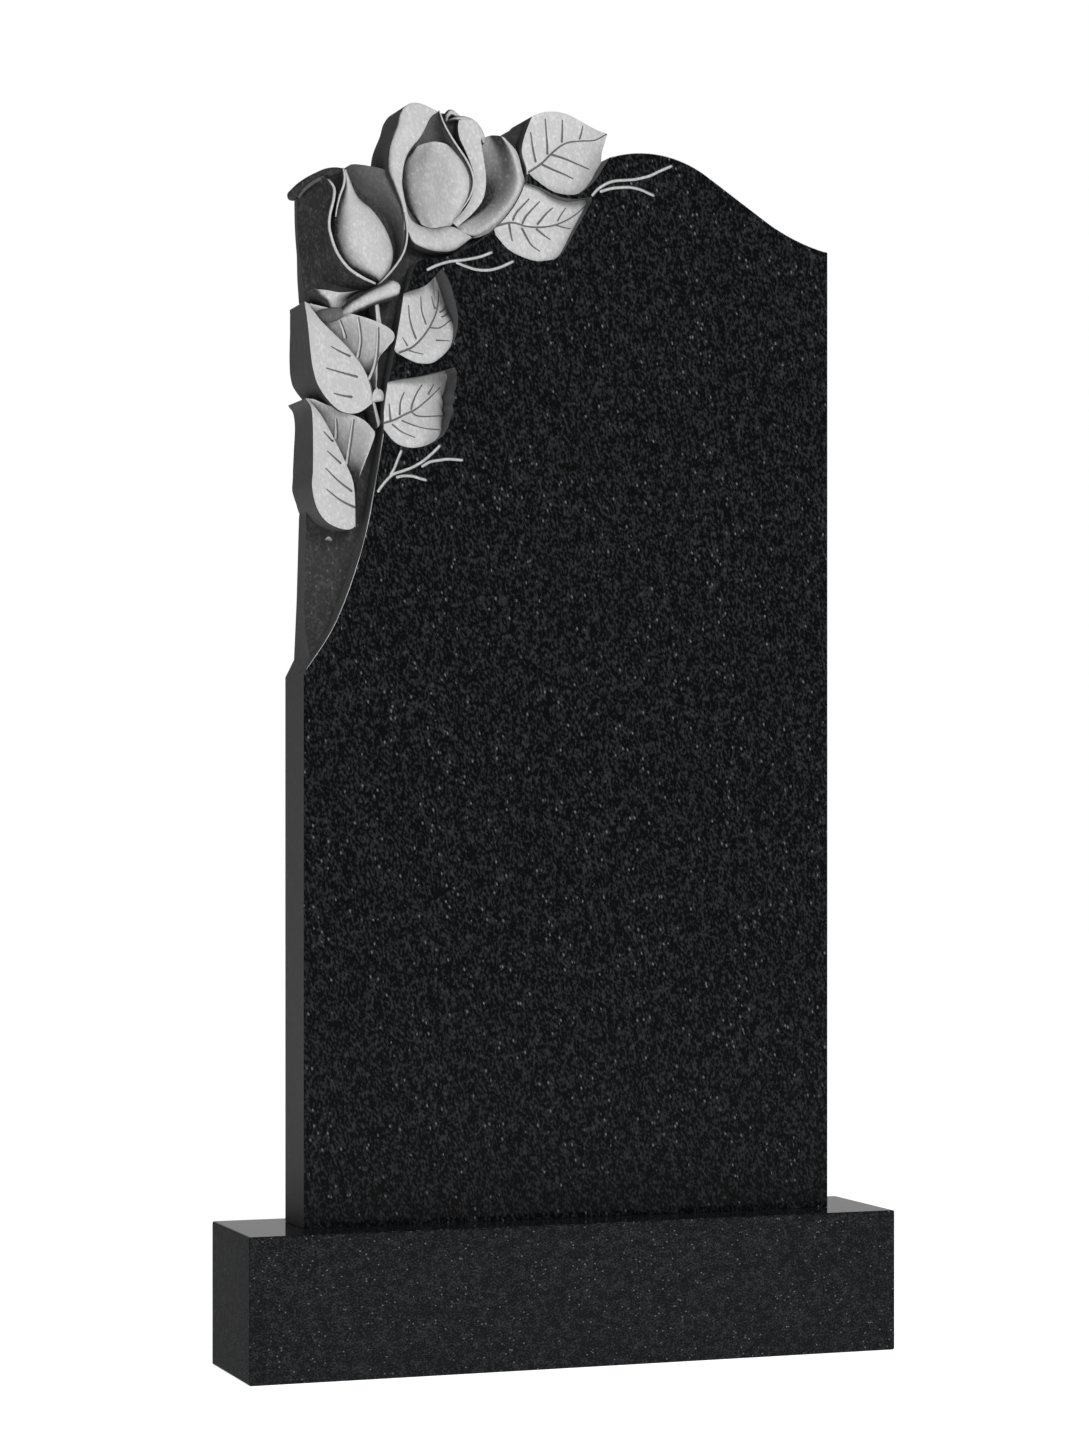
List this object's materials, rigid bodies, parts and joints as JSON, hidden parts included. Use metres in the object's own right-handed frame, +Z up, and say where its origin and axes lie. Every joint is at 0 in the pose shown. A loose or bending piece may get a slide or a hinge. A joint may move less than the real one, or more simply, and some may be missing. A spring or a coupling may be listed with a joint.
{
  "type": "headstone",
  "caption": "upright granite headstone with a curved top, its upper left corner carved into roses and leaves, standing on a plain rectangular plinth",
  "frame": {"origin": "the middle of the plinth's underside", "axes": "+Z up, the polished and carved face looks along -Y, +X to the viewer's right when facing it"},
  "size_m": [0.73, 0.155, 1.3435],
  "materials": {
    "granite_of_the_stele": "polished near-black granite, its carving frosted light grey",
    "granite_of_the_plinth": "polished dark granite"
  },
  "bodies": {
    "root": {"stele": "granite_of_the_stele", "plinth": "granite_of_the_plinth"}
  },
  "joints": []
}
